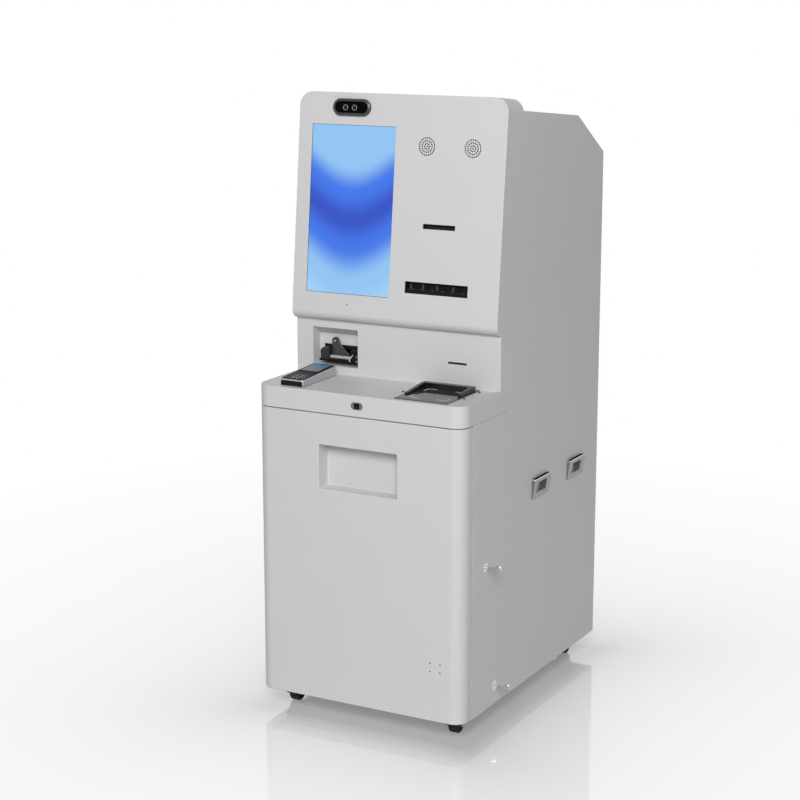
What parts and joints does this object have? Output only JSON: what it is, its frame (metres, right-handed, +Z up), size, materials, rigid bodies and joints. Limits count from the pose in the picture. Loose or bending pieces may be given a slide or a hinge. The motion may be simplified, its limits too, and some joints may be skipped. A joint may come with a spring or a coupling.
{
  "type": "atm machine",
  "caption": "Free-standing self-service cash machine with a tilted touch screen head, a deck, a hinged front door, a rear door and casters.",
  "frame": {"origin": "on the floor under the middle of the whole machine, keys and handles included", "axes": "+X to the right as a user faces the machine, +Y from the front to the back, +Z up"},
  "size_m": [0.717, 0.934, 1.7651],
  "materials": {
    "cabinet_paint": "light grey powder coat, fine satin texture",
    "frame_paint": "dark grey powder coat",
    "module_case": "matte dark grey module housings, hollow in the real object",
    "hood_plastic": "matte dark grey",
    "bright_steel": "nickel-plated steel",
    "handle_steel": "satin steel",
    "black_plastic": "fine-grained black",
    "grey_plastic": "fine-grained grey",
    "silver_plastic": "satin silver",
    "key_plastic": "soft black with light numbers",
    "wheel_rubber": "hard black wheel rubber",
    "display_glass": "glossy touch glass over a lit panel",
    "roll_paper": "white thermal paper"
  },
  "bodies": {
    "cabinet": {"camera_housing": "grey_plastic", "card_reader": "black_plastic", "chassis": "frame_paint", "computer": "module_case", "display_glass": "display_glass", "display_housing": "module_case", "document_scanner": "grey_plastic", "feeder_body": "black_plastic", "front_shell": "cabinet_paint", "left_front_lift_handle": "handle_steel", "left_rear_lift_handle": "handle_steel", "left_side_panel": "cabinet_paint", "left_speaker": "black_plastic", "lower_door_hinge": "bright_steel", "lower_lock": "bright_steel", "niche_box": "cabinet_paint", "note_dispenser": "module_case", "note_outlet": "black_plastic", "payment_terminal": "silver_plastic", "power_inlet": "black_plastic", "presence_sensor": "grey_plastic", "rear_cover": "cabinet_paint", "receipt_printer": "black_plastic", "right_front_lift_handle": "handle_steel", "right_rear_lift_handle": "handle_steel", "right_side_panel": "cabinet_paint", "right_speaker": "black_plastic", "scanner_hood": "hood_plastic", "upper_door_hinge": "bright_steel", "upper_lock": "bright_steel"},
    "front_door": {"front_door": "cabinet_paint"},
    "rear_door": {"rear_door": "cabinet_paint"},
    "rear_door_handle": {"rear_door_handle": "black_plastic"},
    "upper_key": {"upper_key": "bright_steel"},
    "lower_key": {"lower_key": "bright_steel"},
    "paper_roll": {"paper_roll": "roll_paper"},
    "note_outlet_shutter": {"note_outlet_shutter": "grey_plastic"},
    "feeder_paddle": {"feeder_paddle": "grey_plastic"},
    "feeder_roller": {"feeder_roller": "silver_plastic"},
    "power_switch": {"power_switch": "black_plastic"},
    "front_left_caster_fork": {"front_left_caster_fork": "black_plastic"},
    "rear_left_caster_fork": {"rear_left_caster_fork": "black_plastic"},
    "front_right_caster_fork": {"front_right_caster_fork": "black_plastic"},
    "rear_right_caster_fork": {"rear_right_caster_fork": "black_plastic"},
    "front_left_caster_wheel": {"front_left_caster_wheel": "wheel_rubber"},
    "rear_left_caster_wheel": {"rear_left_caster_wheel": "wheel_rubber"},
    "front_right_caster_wheel": {"front_right_caster_wheel": "wheel_rubber"},
    "rear_right_caster_wheel": {"rear_right_caster_wheel": "wheel_rubber"},
    "terminal_key_1_1": {"terminal_key_1_1": "key_plastic"},
    "terminal_key_1_2": {"terminal_key_1_2": "key_plastic"},
    "terminal_key_1_3": {"terminal_key_1_3": "key_plastic"},
    "terminal_key_2_1": {"terminal_key_2_1": "key_plastic"},
    "terminal_key_2_2": {"terminal_key_2_2": "key_plastic"},
    "terminal_key_2_3": {"terminal_key_2_3": "key_plastic"},
    "terminal_key_3_1": {"terminal_key_3_1": "key_plastic"},
    "terminal_key_3_2": {"terminal_key_3_2": "key_plastic"},
    "terminal_key_3_3": {"terminal_key_3_3": "key_plastic"},
    "terminal_key_4_1": {"terminal_key_4_1": "key_plastic"},
    "terminal_key_4_2": {"terminal_key_4_2": "key_plastic"},
    "terminal_key_4_3": {"terminal_key_4_3": "key_plastic"}
  },
  "joints": [
    {"name": "front_door_hinge", "type": "hinge", "parent": "cabinet", "child": "front_door", "pos_m": [-0.324, -0.443, 0.48], "axis": [0, 0, -1], "range_deg": [0, 105]},
    {"name": "rear_door_hinge", "type": "hinge", "parent": "cabinet", "child": "rear_door", "pos_m": [0.2425, 0.449, 0.84], "axis": [0, 0, -1], "range_deg": [0, 110]},
    {"name": "rear_handle_turn", "type": "hinge", "parent": "rear_door", "child": "rear_door_handle", "pos_m": [-0.2545, 0.455, 0.84699], "axis": [0, 1, 0], "range_deg": [0, 90]},
    {"name": "upper_key_turn", "type": "hinge", "parent": "cabinet", "child": "upper_key", "pos_m": [0.3085, -0.325, 0.482], "axis": [-1, 0, 0], "range_deg": [0, 90]},
    {"name": "lower_key_turn", "type": "hinge", "parent": "cabinet", "child": "lower_key", "pos_m": [0.3085, -0.26, 0.114], "axis": [-1, 0, 0], "range_deg": [0, 90]},
    {"name": "paper_roll_turn", "type": "hinge", "parent": "cabinet", "child": "paper_roll", "pos_m": [0.1155, -0.12353, 1.39649], "axis": [1, 0, 0], "continuous": true},
    {"name": "outlet_shutter_swing", "type": "hinge", "parent": "cabinet", "child": "note_outlet_shutter", "pos_m": [0.1155, -0.23035, 1.24694], "axis": [1, 0, 0], "range_deg": [0, 75], "stiffness_Nm_per_rad": 0.05},
    {"name": "feeder_paddle_tilt", "type": "hinge", "parent": "cabinet", "child": "feeder_paddle", "pos_m": [-0.233, -0.212, 1.006], "axis": [1, 0, 0], "range_deg": [-5, 15], "stiffness_Nm_per_rad": 0.05},
    {"name": "feeder_roller_turn", "type": "hinge", "parent": "cabinet", "child": "feeder_roller", "pos_m": [-0.233, -0.2225, 1.009], "axis": [1, 0, 0], "continuous": true},
    {"name": "power_switch_rock", "type": "hinge", "parent": "cabinet", "child": "power_switch", "pos_m": [0.081, 0.4515, 0.125], "axis": [1, 0, 0], "range_deg": [-16, 0]},
    {"name": "front_left_caster_swivel", "type": "hinge", "parent": "cabinet", "child": "front_left_caster_fork", "pos_m": [-0.281, -0.34, 0.0577], "axis": [0, 0, 1], "continuous": true},
    {"name": "front_left_caster_roll", "type": "hinge", "parent": "front_left_caster_fork", "child": "front_left_caster_wheel", "pos_m": [-0.281, -0.367, 0.025], "axis": [1, 0, 0], "continuous": true},
    {"name": "rear_left_caster_swivel", "type": "hinge", "parent": "cabinet", "child": "rear_left_caster_fork", "pos_m": [-0.281, 0.401, 0.0577], "axis": [0, 0, 1], "continuous": true},
    {"name": "rear_left_caster_roll", "type": "hinge", "parent": "rear_left_caster_fork", "child": "rear_left_caster_wheel", "pos_m": [-0.281, 0.374, 0.025], "axis": [1, 0, 0], "continuous": true},
    {"name": "front_right_caster_swivel", "type": "hinge", "parent": "cabinet", "child": "front_right_caster_fork", "pos_m": [0.243, -0.34, 0.0577], "axis": [0, 0, 1], "continuous": true},
    {"name": "front_right_caster_roll", "type": "hinge", "parent": "front_right_caster_fork", "child": "front_right_caster_wheel", "pos_m": [0.243, -0.367, 0.025], "axis": [1, 0, 0], "continuous": true},
    {"name": "rear_right_caster_swivel", "type": "hinge", "parent": "cabinet", "child": "rear_right_caster_fork", "pos_m": [0.243, 0.401, 0.0577], "axis": [0, 0, 1], "continuous": true},
    {"name": "rear_right_caster_roll", "type": "hinge", "parent": "rear_right_caster_fork", "child": "rear_right_caster_wheel", "pos_m": [0.243, 0.374, 0.025], "axis": [1, 0, 0], "continuous": true},
    {"name": "terminal_key_1_1_press", "type": "slide", "parent": "cabinet", "child": "terminal_key_1_1", "axis": [0, 0.0549, -0.9985], "range_m": [0, 0.001], "stiffness_N_per_m": 300},
    {"name": "terminal_key_1_2_press", "type": "slide", "parent": "cabinet", "child": "terminal_key_1_2", "axis": [0, 0.0549, -0.9985], "range_m": [0, 0.001], "stiffness_N_per_m": 300},
    {"name": "terminal_key_1_3_press", "type": "slide", "parent": "cabinet", "child": "terminal_key_1_3", "axis": [0, 0.0549, -0.9985], "range_m": [0, 0.001], "stiffness_N_per_m": 300},
    {"name": "terminal_key_2_1_press", "type": "slide", "parent": "cabinet", "child": "terminal_key_2_1", "axis": [0, 0.0549, -0.9985], "range_m": [0, 0.001], "stiffness_N_per_m": 300},
    {"name": "terminal_key_2_2_press", "type": "slide", "parent": "cabinet", "child": "terminal_key_2_2", "axis": [0, 0.0549, -0.9985], "range_m": [0, 0.001], "stiffness_N_per_m": 300},
    {"name": "terminal_key_2_3_press", "type": "slide", "parent": "cabinet", "child": "terminal_key_2_3", "axis": [0, 0.0549, -0.9985], "range_m": [0, 0.001], "stiffness_N_per_m": 300},
    {"name": "terminal_key_3_1_press", "type": "slide", "parent": "cabinet", "child": "terminal_key_3_1", "axis": [0, 0.0549, -0.9985], "range_m": [0, 0.001], "stiffness_N_per_m": 300},
    {"name": "terminal_key_3_2_press", "type": "slide", "parent": "cabinet", "child": "terminal_key_3_2", "axis": [0, 0.0549, -0.9985], "range_m": [0, 0.001], "stiffness_N_per_m": 300},
    {"name": "terminal_key_3_3_press", "type": "slide", "parent": "cabinet", "child": "terminal_key_3_3", "axis": [0, 0.0549, -0.9985], "range_m": [0, 0.001], "stiffness_N_per_m": 300},
    {"name": "terminal_key_4_1_press", "type": "slide", "parent": "cabinet", "child": "terminal_key_4_1", "axis": [0, 0.0549, -0.9985], "range_m": [0, 0.001], "stiffness_N_per_m": 300},
    {"name": "terminal_key_4_2_press", "type": "slide", "parent": "cabinet", "child": "terminal_key_4_2", "axis": [0, 0.0549, -0.9985], "range_m": [0, 0.001], "stiffness_N_per_m": 300},
    {"name": "terminal_key_4_3_press", "type": "slide", "parent": "cabinet", "child": "terminal_key_4_3", "axis": [0, 0.0549, -0.9985], "range_m": [0, 0.001], "stiffness_N_per_m": 300}
  ]
}
